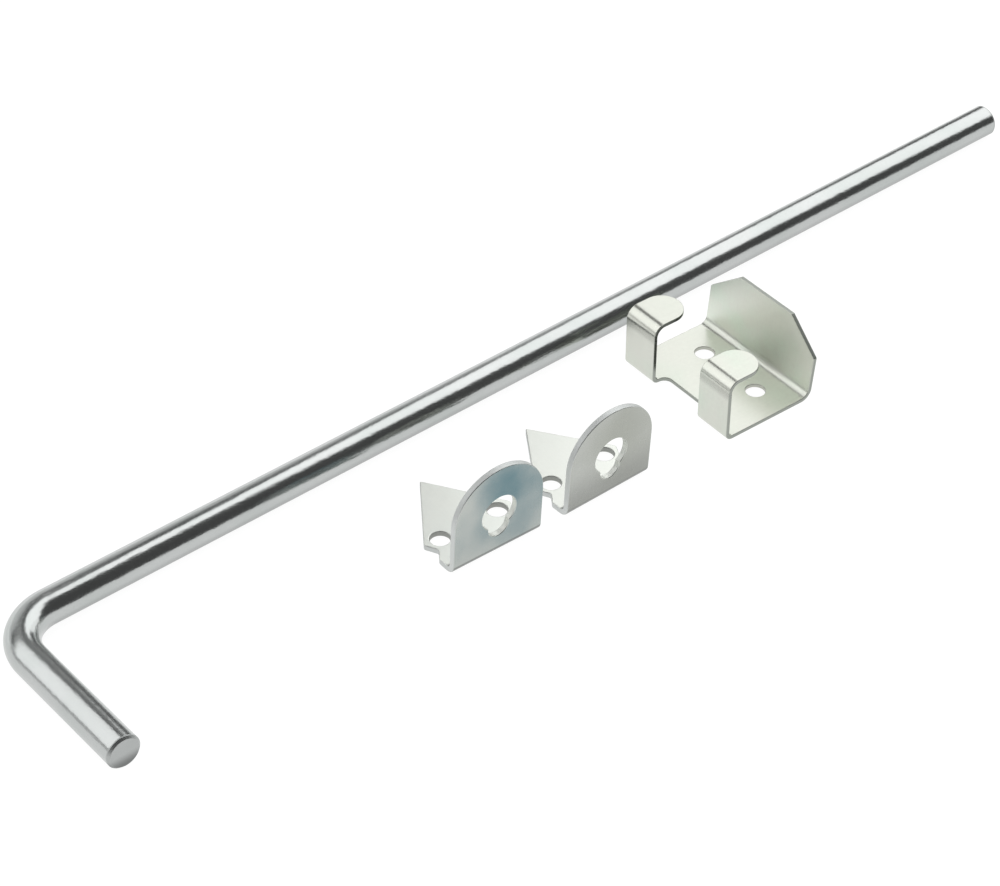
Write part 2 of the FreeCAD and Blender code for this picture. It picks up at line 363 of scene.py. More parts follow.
class Strip:
    """The side view of a folded strip, as a function of the distance along it.

    Its outer surface sets off from start at heading and turns left at each fold, and the
    sheet lies on its left. Steps are ("run", length) or ("fold", angle, inside radius). In a
    fold the distance is measured half way through the sheet.
    """

    def __init__(self, start, heading, sheet, steps):
        self.sheet = sheet
        self.spans = []
        point, along = np.array(start, float), 0.0
        for step in steps:
            ahead = self.bearing(heading)
            left = self.bearing(heading + math.pi / 2)
            turn = step[1] if step[0] == "fold" else 0.0
            pivot = (step[2] + sheet) if turn else 0.0
            length = turn * (step[2] + sheet / 2) if turn else step[1]
            self.spans.append((along, along + length, point, heading, turn, pivot))
            heading += turn
            if turn:
                point = point + left * pivot - self.bearing(heading + math.pi / 2) * pivot
            else:
                point = point + ahead * length
            along += length

    @staticmethod
    def bearing(angle):
        """Unit side-view vectors at an angle, or an array of angles."""
        return np.stack([np.cos(angle), np.sin(angle)], axis=-1)

    def mark(self, step):
        """How far along the given step begins. Step -1 is the strip's end."""
        return self.spans[-1][1] if step == -1 else self.spans[step][0]

    def levels(self):
        """Distances at which a fold's surface needs points, its two ends included."""
        folds = [(begin, end) for begin, end, _, _, turn, _ in self.spans if turn]
        return np.concatenate([np.linspace(*fold, FOLD_SLICES + 1) for fold in folds])

    def place(self, along, depth):
        """Side-view points at a depth below the outer surface, and the unit vectors
        ahead and out of it. In a run they step straight on, and in a fold they swing
        about a centre that lies pivot to the left."""
        points = np.zeros((len(along), 2))
        ahead = np.zeros((len(along), 2))
        for begin, end, corner, heading, turn, pivot in self.spans:
            here = (along >= begin - CLOSE) & (along <= end + CLOSE)
            done = along[here] - begin
            angle = heading + turn * done / (end - begin)
            side = self.bearing(angle + math.pi / 2)
            if turn:
                centre = corner + self.bearing(heading + math.pi / 2) * pivot
                points[here] = centre - side * (pivot - depth[here])[:, None]
            else:
                points[here] = corner + self.bearing(angle) * done[:, None] + side * depth[here][:, None]
            ahead[here] = self.bearing(angle)
        out = np.column_stack([ahead[:, 1], -ahead[:, 0]])
        return points, ahead, out


def edge_profile(sheet, edge_round):
    """The rounded cut edge from face to face: inset, depth and how far it leans to each side.

    A quarter turn of radius edge_round, a straight wall, and another quarter turn.
    """
    turn = np.linspace(0, math.pi / 2, EDGE_POINTS)
    inset = edge_round * (1 - np.sin(turn))
    depth = edge_round * (1 - np.cos(turn))
    insets = np.concatenate([inset, inset[::-1]])
    depths = np.concatenate([depth, sheet - depth[::-1]])
    sideways = np.concatenate([np.sin(turn), np.sin(turn)[::-1]])
    upward = np.concatenate([np.cos(turn), -np.cos(turn)[::-1]])
    return insets, depths, sideways, upward


def folded_sheet(name, outlines, strip, origin, axes, edge_round):
    """A sheet with rounded cut edges, bent along a strip.

    outlines are (flat blank's (across, along), edge colour), the outer one first. The two
    faces are the blank's area between the inset outlines, cut into triangles that keep to the
    fold's levels. The edges carry edge_profile along each outline. axes are the space vectors
    of across and of the side view's two directions.
    """
    levels = strip.levels()
    insets, depths, sideways, upward = edge_profile(strip.sheet, edge_round)
    rows = len(insets)

    flat, depth, lean, rise, rim_faces, rings, cut_edge = [], [], [], [], [], [], []
    count = 0
    for outline, edge_colour in outlines:
        outline = crossed_at(outline, levels)
        size = len(outline)
        place, out = outline[:, :2], outline[:, 2:]
        flat.append((place - insets[:, None, None] * out).reshape(-1, 2))
        depth.append(np.repeat(depths, size))
        lean.append((sideways[:, None, None] * out).reshape(-1, 2))
        rise.append(np.repeat(upward, size))
        share = np.repeat(np.sqrt(np.clip(1 - abs(upward), 0, 1)), size)
        cut_edge.append(np.column_stack([np.tile(edge_colour, (len(share), 1)), share]))
        index, beside, quads = closed_rows(rows, size, count)
        rim_faces.append(quads)
        rings.append((index[0], beside[0], index[-1]))
        count += rows * size
    flat, depth = np.concatenate(flat), np.concatenate(depth)
    lean, rise = np.concatenate(lean), np.concatenate(rise)

    top = np.concatenate([ring[0] for ring in rings])
    bottom = np.concatenate([ring[2] for ring in rings])
    border = np.column_stack([top, np.concatenate([ring[1] for ring in rings])])
    number = np.zeros(count, int)
    number[top] = np.arange(len(top))
    cuts = [number[border]]
    for level in levels:
        on_level = np.flatnonzero(abs(flat[top, 1] - level) < CLOSE)
        on_level = on_level[np.argsort(flat[top][on_level, 0])]
        cuts.append(on_level.reshape(-1, 2))
    cuts = np.concatenate(cuts)
    found = delaunay_2d_cdt(flat[top].tolist(), cuts.tolist(), [], 1, TINY)
    if len(found[0]) != len(top):
        raise RuntimeError(f"{name}: the blank's outlines cross")
    triangles = np.array(found[2])
    middles = flat[top][triangles].mean(axis=1)
    triangles = triangles[enclosed(middles, flat[border[:, 0]], flat[border[:, 1]])]

    side, ahead, out = strip.place(flat[:, 1], depth)
    across, first, second = np.array(axes, float)
    points = np.array(origin) + flat[:, :1] * across + side[:, :1] * first + side[:, 1:] * second
    forward = ahead[:, :1] * first + ahead[:, 1:] * second
    up = out[:, :1] * first + out[:, 1:] * second
    normals = lean[:, :1] * across + lean[:, 1:] * forward + rise[:, None] * up
    triangles = facing_out(points, normals, np.concatenate([top[triangles], bottom[triangles]]))
    quads = facing_out(points, normals, np.concatenate(rim_faces))
    corners = np.concatenate([triangles.ravel(), quads.ravel()])
    faces = triangles.tolist() + quads.tolist()
    return make_piece(name, points, normals, faces, flat[corners], np.concatenate(cut_edge))


def bent_bar(name, origin, radius, arm, handle, bend, chamfer):
    """A round bar with one right-angled bend, its two flat ends chamfered.

    Along the centre line: flat end and 45 degree chamfer, the arm, a quarter circle of
    radius bend, the handle, chamfer and flat end. Both rims of a chamfer are rounded over
    an eighth of a turn. At each station a circle of the station's radius stands square to
    the line. The seam of its metal map runs along the underside.
    """
    around, arm_rings, bend_rings, handle_rings, cap_rings = ROD_AROUND, 160, 49, 40, 5
    hub_share, soft_share = 0.12, 0.3
    arm_run, handle_run = arm - bend, handle - bend
    quarter = bend * math.pi / 2
    length = arm_run + quarter + handle_run
    soft = soft_share * chamfer
    set_back = soft * math.tan(math.pi / 8)
    turn = np.linspace(0, math.pi / 4, EDGE_POINTS)
    inner = radius - chamfer - set_back
    outer = chamfer + set_back
    rim_at = np.concatenate([soft * (1 - np.cos(turn)), outer - soft * np.sin(turn[::-1])])
    rim_radius = np.concatenate([inner + soft * np.sin(turn), radius - soft * (1 - np.cos(turn[::-1]))])
    rim_lean = np.concatenate([np.cos(turn), np.sin(turn[::-1])])
    cap = np.linspace(hub_share, 1, cap_rings)[:-1] * inner
    on_arm = np.linspace(outer, arm_run, arm_rings)[1:-1]
    on_bend = arm_run + np.linspace(0, quarter, bend_rings)
    on_handle = np.linspace(arm_run + quarter, length - outer, handle_rings)[1:-1]
    body = np.concatenate([on_arm, on_bend, on_handle])
    at = np.concatenate([0 * cap, rim_at, body, length - rim_at[::-1], length + 0 * cap])
    wide = np.concatenate([cap, rim_radius, radius + 0 * body, rim_radius[::-1], cap[::-1]])
    lean = np.concatenate([1 + 0 * cap, rim_lean, 0 * body, -rim_lean[::-1], -1 + 0 * cap])

    swung = np.clip((at - arm_run) / bend, 0, math.pi / 2)
    before = np.minimum(at, arm_run)
    after = np.maximum(at - arm_run - quarter, 0)
    line_x = arm - before - bend * np.sin(swung)
    line_y = -bend * (1 - np.cos(swung)) - after
    line = np.column_stack([line_x, line_y, 0 * at])
    ahead = np.column_stack([-np.cos(swung), -np.sin(swung), 0 * at])
    side = np.column_stack([-ahead[:, 1], ahead[:, 0], 0 * at])
    angle = -math.pi / 2 + 2 * math.pi * np.arange(around) / around
    ring = side[:, None] * np.cos(angle)[:, None] + np.array([0, 0, 1]) * np.sin(angle)[:, None]
    points = np.array(origin) + line[:, None] + wide[:, None, None] * ring
    slope = np.sqrt(1 - lean**2)[:, None, None]
    normals = slope * ring - lean[:, None, None] * ahead[:, None]

    rows = len(at)
    index, beside, quads = closed_rows(rows, around)
    step = 2 * math.pi * radius / around
    here = np.broadcast_to(step * np.arange(around), (rows, around))
    along = np.broadcast_to(at[:, None], (rows, around))
    maps = [(here[:-1], along[:-1]), (here[:-1] + step, along[:-1])]
    maps += [(here[:-1] + step, along[1:]), (here[:-1], along[1:])]
    quad_map = np.stack([np.stack(pair, axis=-1) for pair in maps], axis=2)

    points = np.concatenate([points.reshape(-1, 3), np.array(origin) + line[[0, -1]]])
    normals = np.concatenate([normals.reshape(-1, 3), -ahead[:1], ahead[-1:]])
    poles = np.repeat(rows * around + np.arange(2), around)
    fans = np.column_stack([index[[0, -1]].ravel(), beside[[0, -1]].ravel(), poles])
    fan_map = np.zeros((2 * around, 3, 2))
    turned = facing_out(points, normals, quads)
    quad_map = quad_map.reshape(-1, 4, 2)
    quad_map = np.where((turned[:, 0] != quads[:, 0])[:, None, None], quad_map[:, ::-1], quad_map)
    faces = facing_out(points, normals, fans).tolist() + turned.tolist()
    corner_map = np.concatenate([fan_map.reshape(-1, 2), quad_map.reshape(-1, 2)])
    return make_piece(name, points, normals, faces, corner_map, np.zeros((len(points), 4)))


class CaneRodSettings(bpy.types.PropertyGroup):
    """Sizes and colours of the rod."""

    bend: bpy.props.FloatProperty(
        name="Bend radius", description="Radius of the bend, to the centre line",
        default=18 * MM, unit="LENGTH",
    )
    chamfer: bpy.props.FloatProperty(
        name="Chamfer", description="Chamfer round both flat ends",
        default=0.8 * MM, unit="LENGTH",
    )
    clear: bpy.props.FloatVectorProperty(
        name="Plating", description="Colour of the clear zinc", subtype="COLOR",
        default=(0.50, 0.515, 0.51), min=0, max=1,
    )
    stained: bpy.props.FloatVectorProperty(
        name="Film", description="Colour of the zinc under its thin film", subtype="COLOR",
        default=(0.46, 0.485, 0.475), min=0, max=1,
    )


class GuideSettings(bpy.types.PropertyGroup):
    """Sizes and colours of the guides."""

    width: bpy.props.FloatProperty(
        name="Width", description="Width of the plate and the flange", default=38.1 * MM, unit="LENGTH",
    )
    height: bpy.props.FloatProperty(
        name="Height", description="Up the plate's front, from its corner with the flange's underside",
        default=40.0 * MM, unit="LENGTH",
    )
    reach: bpy.props.FloatProperty(
        name="Reach", description="From the same corner to the flange's point",
        default=45.2 * MM, unit="LENGTH",
    )
    sheet: bpy.props.FloatProperty(
        name="Sheet", description="Thickness of the metal", default=2.4 * MM, unit="LENGTH",
    )
    inside: bpy.props.FloatProperty(
        name="Fold radius", description="Inside radius of the fold", default=2.0 * MM, unit="LENGTH",
    )
    edge_round: bpy.props.FloatProperty(
        name="Edge round", description="Rounding of the cut edges", default=0.35 * MM, unit="LENGTH",
    )
    point_round: bpy.props.FloatProperty(
        name="Point round", description="Rounding of the flange's point", default=0.5 * MM, unit="LENGTH",
    )
    foot_radius: bpy.props.FloatProperty(
        name="Foot radius", description="Radius of the notch under the rod hole",
        default=4.4 * MM, unit="LENGTH",
    )
    foot_depth: bpy.props.FloatProperty(
        name="Foot depth", description="How far the notch reaches below the rod hole",
        default=3.3 * MM, unit="LENGTH",
    )
    notch_depth: bpy.props.FloatProperty(
        name="Notch depth", description="Depth of the relief in each side",
        default=2.75 * MM, unit="LENGTH",
    )
    notch_round: bpy.props.FloatProperty(
        name="Notch round", description="Rounding of the relief's corners",
        default=1.2 * MM, unit="LENGTH",
    )
    notch_marks: bpy.props.FloatVectorProperty(
        name="Notch marks", description="Where the relief starts, turns and ends, from the front",
        default=(8.0 * MM, 11.9 * MM, 17.0 * MM), unit="LENGTH",
    )
    clear: bpy.props.FloatVectorProperty(
        name="Plating", description="Colour of the clear zinc", subtype="COLOR",
        default=(0.50, 0.515, 0.485), min=0, max=1,
    )
    blue_film: bpy.props.FloatVectorProperty(
        name="Blue film", description="Colour of the lower guide's zinc under its film",
        subtype="COLOR", default=(0.10, 0.195, 0.225), min=0, max=1,
    )
    grey_film: bpy.props.FloatVectorProperty(
        name="Grey film", description="Colour of the upper guide's zinc under its film",
        subtype="COLOR", default=(0.40, 0.415, 0.375), min=0, max=1,
    )
    edge: bpy.props.FloatVectorProperty(
        name="Cut edge", description="Colour of the paler rim of the sheet",
        subtype="COLOR", default=(0.62, 0.64, 0.63), min=0, max=1,
    )
    # Painted light: the rod hole's wall is paler than the other cut edges, for light caught in the hole
    hole_wall: bpy.props.FloatVectorProperty(
        name="Rod hole wall", description="Colour of the bright wall of the rod hole",
        subtype="COLOR", default=(0.74, 0.76, 0.72), min=0, max=1,
    )
    # Painted shade: the screw holes' walls are darker than the other cut edges, for shade in the holes
    screw_wall: bpy.props.FloatVectorProperty(
        name="Screw hole wall", description="Colour of the dull walls of the screw holes",
        subtype="COLOR", default=(0.38, 0.39, 0.37), min=0, max=1,
    )


class HolderSettings(bpy.types.PropertyGroup):
    """Sizes and colours of the holder."""

    sheet: bpy.props.FloatProperty(
        name="Sheet", description="Thickness of the metal", default=1.6 * MM, unit="LENGTH",
    )
    length: bpy.props.FloatProperty(
        name="Length", description="From one tab's outer side to the other's",
        default=57.15 * MM, unit="LENGTH",
    )
    tab: bpy.props.FloatProperty(
        name="Tab width", description="Width of each hooked tab", default=15.9 * MM, unit="LENGTH",
    )
    tab_height: bpy.props.FloatProperty(
        name="Tab height", description="Top of the tabs", default=26.5 * MM, unit="LENGTH",
    )
    tongue: bpy.props.FloatProperty(
        name="Tongue", description="Straight part of a tongue, before its round end",
        default=5.3 * MM, unit="LENGTH",
    )
    folds: bpy.props.FloatVectorProperty(
        name="Fold radii", description="Inside radii at the tongue, the foot and the wall",
        default=(3.4 * MM, 1.6 * MM, 3.2 * MM), unit="LENGTH",
    )
    recess: bpy.props.FloatProperty(
        name="Recess", description="Hollow in the base between the tabs", default=3.4 * MM, unit="LENGTH",
    )
    wall_lean: bpy.props.FloatProperty(
        name="Wall lean", description="How far the wall leans outwards",
        default=math.radians(5.5), subtype="ANGLE",
    )
    wall_fold: bpy.props.FloatProperty(
        name="Base", description="From the tabs' faces to the wall's fold", default=37 * MM, unit="LENGTH",
    )
    wall_height: bpy.props.FloatProperty(
        name="Wall height", description="Top of the wall's outer face", default=29.5 * MM, unit="LENGTH",
    )
    wall_cut: bpy.props.FloatVectorProperty(
        name="Cut corners", description="The wall's cut corners, along its top and down", size=2,
        default=(14.5 * MM, 11.5 * MM), unit="LENGTH",
    )
    screw_wall: bpy.props.FloatProperty(
        name="Screw holes", description="From the screw holes' middles to the wall's fold",
        default=10 * MM, unit="LENGTH",
    )
    edge_round: bpy.props.FloatProperty(
        name="Edge round", description="Rounding of the cut edges", default=0.25 * MM, unit="LENGTH",
    )
    corner_round: bpy.props.FloatProperty(
        name="Corner round", description="Rounding of the wall's corners", default=0.5 * MM, unit="LENGTH",
    )
    clear: bpy.props.FloatVectorProperty(
        name="Plating", description="Colour of the clear zinc", subtype="COLOR",
        default=(0.655, 0.67, 0.61), min=0, max=1,
    )
    stained: bpy.props.FloatVectorProperty(
        name="Film", description="Colour of the zinc under its green-yellow film", subtype="COLOR",
        default=(0.605, 0.68, 0.59), min=0, max=1,
    )
    edge: bpy.props.FloatVectorProperty(
        name="Cut edge", description="Colour of the sheet's darker cut edge",
        subtype="COLOR", default=(0.30, 0.32, 0.29), min=0, max=1,
    )
    screw_wall_zinc: bpy.props.FloatVectorProperty(
        name="Screw hole wall zinc", description="Colour of the walls of the screw holes",
        subtype="COLOR", default=(0.42, 0.43, 0.38), min=0, max=1,
    )


class StudioSettings(bpy.types.PropertyGroup):
    """Light and ground."""

    daylight: bpy.props.FloatProperty(
        name="Daylight", description="Strength of the even white light", default=1.1, min=0,
    )
    ground: bpy.props.FloatVectorProperty(
        name="Ground", description="Colour of the pale floor", subtype="COLOR",
        default=(0.13, 0.13, 0.13), min=0, max=1,
    )
    ground_light: bpy.props.FloatProperty(
        name="Ground light", description="Light that the floor gives off, which keeps shadows faint",
        default=0.93, min=0,
    )


class CANEBOLT_OT_rod(bpy.types.Operator):
    """Make the bent rod"""

    bl_idname = "canebolt.rod"
    bl_label = "Cane rod"

    def execute(self, context):
        rod = context.scene.canebolt_rod
        radius = mount_size("bolt_tip", "r_mm")
        low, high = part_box("cane_rod")
        corner = (low.x + radius, high.y - radius, radius)
        arm, handle = high.x - corner[0], corner[1] - low.y
        piece = bent_bar("Zinc_rod", corner, radius, arm, handle, rod.bend, rod.chamfer)
        line = arm + handle - (2 - math.pi / 2) * rod.bend
        face, change = 1.5 * rod.chamfer, 0.2 * MM
        polished, cut = 0.18, 0.40
        # One cut end, the drawn bar and the other cut end
        zones = [
            (-MM, 0, 0.9, 1, cut),
            (face, face + change, 1, 1, polished),
            (line - face - change, line - face, 0.9, 1, cut),
        ]
        material = zinc_plate(
            "Bright zinc bar", rod.clear, rod.stained,
            film_range=(0.45, 0.75), roughness=polished,
            waves=(560, 230, 7.5e-5), lines=(2600, 60, 1.5e-6), grain=2.6e-6,
            # Painted shade on the rod's underside, darker towards the floor
            zones=zones, shadowed=(1.5 * MM, 6.6 * MM, 0.55),
        )
        dress(piece, "cane_rod", material)
        return {"FINISHED"}


class CANEBOLT_OT_guides(bpy.types.Operator):
    """Make the two guides"""

    bl_idname = "canebolt.guides"
    bl_label = "Guides"

    def execute(self, context):
        guide = context.scene.canebolt_guide
        # Each guide's plate, foot and flange brightness is painted light and shade, set for that guide
        for which, name, film, plate, foot_shade, flange_light in (
            ("lower", "Lower_guide", guide.blue_film, 1.02, 0.99, 1.63),
            ("upper", "Upper_guide", guide.grey_film, 0.93, 0.66, 1.41),
        ):
            node = which + "_guide"
            low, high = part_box(node)
            piece, strip = self.bracket(name, guide, node)
            right = Vector((high.x, low.y, 0))
            # The film gathers over the hole, on the plate's right and all round its middle
            stains = [
                (right + Vector((-16, 0.5, 33)) * MM, 18 * MM, 0.42),
                (right + Vector((-3, 0.5, 19)) * MM, 32 * MM, 0.32),
                (right + Vector((-24, 0.5, 14)) * MM, 60 * MM, 0.19),
            ]
            fold, flange = strip.mark(1), strip.mark(2)
            smooth, worn = 0.24, 0.32
            # Painted light and shade: the plate's brightness, its darker foot, a dark line painted at the
            # shaded start of the fold and the paler flange, which also has less film and is rougher
            zones = [
                (-MM, 0, plate, 1, smooth),
                (fold - 18 * MM, fold, foot_shade, 1, smooth),
                (fold, fold + 0.6 * MM, 0.45, 0.8, smooth),
                ((fold + flange) / 2, flange, flange_light, 0.15, worn),
            ]
            material = zinc_plate(
                f"Zinc sheet {which}", guide.clear, film,
                film_range=(0.5, 1.35), roughness=smooth,
                waves=(170, 120, 1.6e-5), lines=(1400, 50, 1.0e-6), grain=0.8e-6,
                zones=zones, stains=stains, edge_rough=0.5,
            )
            dress(piece, node, material)
        return {"FINISHED"}

    def bracket(self, name, guide, node):
        """One guide: a leaning plate with a round top and a rod hole, folded to a pointed flange.

        Lengths up the plate and along the flange start at the corner where the plate's front
        would meet the flange's underside. Returns the piece and its strip.
        """
        left, right = (mount_place(f"{node}_screw_{side}") for side in ("left", "right"))
        bore = node + "_bore"
        across = (right - left).normalized()
        backward = Vector((-across.y, across.x, 0))
        lean = math.asin(-MOUNTS[bore]["axis"][2])
        sheet, inside, height = guide.sheet, guide.inside, guide.height
        hole_height = (mount_place(bore).z - sheet / 2 * math.sin(lean)) / math.cos(lean)
        hole_back = sheet / 2 * math.cos(lean) - hole_height * math.sin(lean)
        corner = mount_place(bore) - backward * hole_back
        corner.z = 0

        half = guide.width / 2
        set_back = (inside + sheet) * math.tan((math.pi / 2 - lean) / 2)
        strip = Strip(
            (-height * math.sin(lean), height * math.cos(lean)), lean - math.pi / 2, sheet,
            [
                ("run", height - set_back),
                ("fold", math.pi / 2 - lean, inside),
                ("run", guide.reach - set_back),
            ],
        )
        back = strip.mark(2) - set_back
        start, turn, end = (back + mark for mark in guide.notch_marks)
        small = guide.notch_round
        corners = [
            (-half, 0, half),
            (half, 0, half),
            (half, start, small),
            (half - guide.notch_depth, turn, small),
            (half, end, small),
            (0, back + guide.reach, guide.point_round),
            (-half, end, small),
            (guide.notch_depth - half, turn, small),
            (-half, start, small),
        ]
        radius = mount_size(bore, "r_mm")
        drop = radius + guide.foot_depth - guide.foot_radius
        rod_hole = footed_hole((0, height - hole_height), radius, guide.foot_radius, drop)
        screw_at = back + (left - corner).dot(backward)
        screw = mount_size(node + "_screw_left", "r_mm")
        spacing = (right - left).length / 2
        holes = [round_hole((side * spacing, screw_at), screw) for side in (-1, 1)]
        axes = [across, backward, (0, 0, 1)]
        # The rod hole's wall carries painted light and the screw holes' walls painted shade
        outlines = [(rounded_outline(corners), guide.edge), (rod_hole, guide.hole_wall)]
        outlines += [(hole, guide.screw_wall) for hole in holes]
        piece = folded_sheet(name, outlines, strip, corner, axes, guide.edge_round)
        return piece, strip


class CANEBOLT_OT_holder(bpy.types.Operator):
    """Make the holder"""

    bl_idname = "canebolt.holder"
    bl_label = "Bolt holder"

    def execute(self, context):
        holder = context.scene.canebolt_holder
        near, far = (mount_place(f"holder_screw_{end}") for end in ("near", "far"))
        beside = (far - near).normalized()
        across = Vector((beside.y, -beside.x, 0))
        length = holder.length
        top_inside, foot_inside, wall_inside = holder.folds
        sheet, tab = holder.sheet, holder.tab
        top_outside, foot_outside, wall_outside = (fold + sheet for fold in holder.folds)
        reach = top_outside + holder.tongue + tab / 2
        lean = holder.wall_lean
        wall_start = wall_outside * (1 - math.sin(lean))
        strip = Strip(
            (reach, holder.tab_height), math.pi, sheet,
            [
                ("run", reach - top_outside),
                ("fold", math.pi / 2, top_inside),
                ("run", holder.tab_height - top_outside - foot_outside),
                ("fold", math.pi / 2, foot_inside),
                ("run", holder.wall_fold - foot_outside),
                ("fold", math.pi / 2 - lean, wall_inside),
                ("run", (holder.wall_height - wall_start) / math.cos(lean)),
            ],
        )
        recess = strip.mark(4) + holder.recess
        wall_top = strip.mark(-1)
        cut_along, cut_down = holder.wall_cut
        cut_at = wall_top - cut_down / math.cos(lean)
        small = holder.corner_round
        corners = [
            (0, 0, tab / 2),
            (tab, 0, tab / 2),
            (tab, recess, holder.recess),
            (length - tab, recess, holder.recess),
            (length - tab, 0, tab / 2),
            (length, 0, tab / 2),
            (length, cut_at, small),
            (length - cut_along, wall_top, small),
            (cut_along, wall_top, small),
            (0, cut_at, small),
        ]
        screw_across = holder.wall_fold - holder.screw_wall
        screw_at = strip.mark(4) - foot_outside + screw_across
        spacing = (far - near).length / 2
        radius = mount_size("holder_screw_near", "r_mm")
        holes = [round_hole((length / 2 + side * spacing, screw_at), radius) for side in (-1, 1)]
        corner = near - across * screw_across - beside * (length / 2 - spacing)
        corner.z = 0
        axes = [beside, across, (0, 0, 1)]
        outlines = [(rounded_outline(corners), holder.edge)]
        outlines += [(hole, holder.screw_wall_zinc) for hole in holes]
        piece = folded_sheet("Bolt_holder", outlines, strip, corner, axes, holder.edge_round)
        stain = corner + across * 44 * MM + beside * 0.35 * length + Vector((0, 0, 12 * MM))
        top_fold, tab_start, foot, base, wall_foot, wall = (strip.mark(step) for step in range(1, 7))
        under = tab_start - 0.5 * MM
        smooth = 0.22
        # Tongues, their folds, the line under the folds, tabs, base and wall, with painted light and
        # shade: darker tongues and base, a dark painted line under the folds and a brighter wall
        zones = [
            (-MM, 0, 0.82, 1, smooth),
            (top_fold, top_fold + 1 * MM, 0.97, 1, smooth),
            (under - 0.5 * MM, under, 0.74, 1, 0.25),
            (under + 1 * MM, under + 4 * MM, 0.95, 1, smooth),
            (foot, base, 0.87, 0.5, 0.26),
            (wall_foot, wall, 1.26, 1, 0.36),
        ]
        material = zinc_plate(
            "Zinc sheet holder", holder.clear, holder.stained,
            film_range=(0.5, 0.85), roughness=smooth,
            waves=(150, 110, 1.4e-5), lines=(1400, 50, 0.8e-6), grain=0.8e-6,
            zones=zones, stains=[(stain, 26 * MM, 0.06)], edge_rough=smooth,
        )
        dress(piece, "bolt_holder", material)
        return {"FINISHED"}


def glow(finish, strength):
    """Makes the finish give off white light, of one strength or of one that varies."""
    return finish.surface(finish.add("Emission", None, {"Color": (1, 1, 1, 1), "Strength": strength}))


def reflected_only(thing):
    """The thing shows in reflections, and neither lights nor shades anything else."""
    thing.visible_camera = False
    thing.visible_diffuse = False
    thing.visible_shadow = False
    thing.visible_transmission = False
    thing.visible_volume_scatter = False


def card(name, corners, strength):
    """A flat polygon that shows in reflections as a soft box or a dark flag."""
    thing = new_thing(name, corners, [range(len(corners))])
    thing.data.materials.append(glow(Finish(name), strength))
    reflected_only(thing)


def room_light():
    """The room as reflections show it: dark on the near side, where Y is low, and to the right,
    where X is high, and paler towards the far side, most of all low down there. right, far and
    up are the X, Y and Z parts of the direction from the middle."""
    finish = Finish("Room")
    place = finish.add("TexCoord", output="Object")
    towards = finish.add("VectorMath", {"operation": "NORMALIZE"}, {0: place})
    right, far, up = (finish.component(towards, axis) for axis in range(3))
    near_level, middle_level, far_level, low_level = 0.085, 0.15, 0.62, 0.4
    left = 1 - 0.85 * finish.step(right, 0.48, 0.64)
    low = (1 - finish.step(up, 0.10, 0.22)) * (1 - finish.step(right, 0.60, 0.70))
    level = near_level + middle_level * left * finish.step(far, -0.3, 0.5)
    level = level + far_level * finish.step(far, 0.62, 0.92)
    level = level + low_level * low * finish.step(far, 0.4, 0.55)
    return glow(finish, level)


def room_dome(radius, rings, around):
    """A half ball over the set: rows of constant height, columns of constant heading. It
    starts a little under the floor, and a flat lid closes it at the top."""
    lowest, highest = -0.02, 0.97
    rise = np.linspace(lowest, highest, rings)[:, None] * math.pi / 2
    turn = np.linspace(0, 2 * math.pi, around, endpoint=False)
    wide = np.cos(rise)
    points = np.stack([wide * np.cos(turn), wide * np.sin(turn), np.sin(rise) + 0 * turn], axis=-1)
    index, _, quads = closed_rows(rings, around)
    lid = index[-1].tolist()
    thing = new_thing("Room", radius * points.reshape(-1, 3), quads.tolist() + [lid])
    thing.data.shade_smooth()
    thing.data.materials.append(room_light())
    reflected_only(thing)


